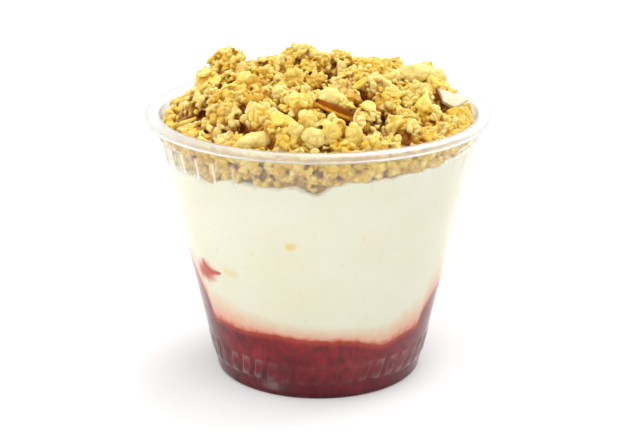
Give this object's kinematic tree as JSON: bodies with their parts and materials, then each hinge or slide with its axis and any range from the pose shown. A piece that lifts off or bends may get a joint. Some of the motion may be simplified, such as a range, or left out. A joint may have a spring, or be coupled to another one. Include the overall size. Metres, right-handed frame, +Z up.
{
  "type": "yogurt parfait",
  "caption": "Layered dessert in a clear tapered cup with a rolled rim: strawberry compote, plain yogurt and a heaped topping of granola clusters with almond pieces.",
  "frame": {"origin": "on the table under the middle of the cup's foot", "axes": "+Z up along the cup's axis; the shown front faces -Y, so +X is to the viewer's right"},
  "size_m": [0.0928, 0.093, 0.0876],
  "materials": {
    "clear_cup": "thermoformed clear PET sheet, glossy",
    "strawberry_compote": "wet cooked strawberry, dark red, smooth against the wall",
    "yogurt": "thick set yogurt, cream white, soft sheen",
    "granola": "honey-glazed toasted oats, golden, lumpy",
    "almond_skin": "dry wrinkled brown skin with pale cut flesh",
    "almond_flesh": "smooth pale cut nut"
  },
  "bodies": {
    "root": {"cup": "clear_cup", "fruit_layer": "strawberry_compote", "yogurt": "yogurt", "granola": "granola", "almond_sliver": "almond_skin", "almond_flake": "almond_flesh"}
  },
  "joints": []
}
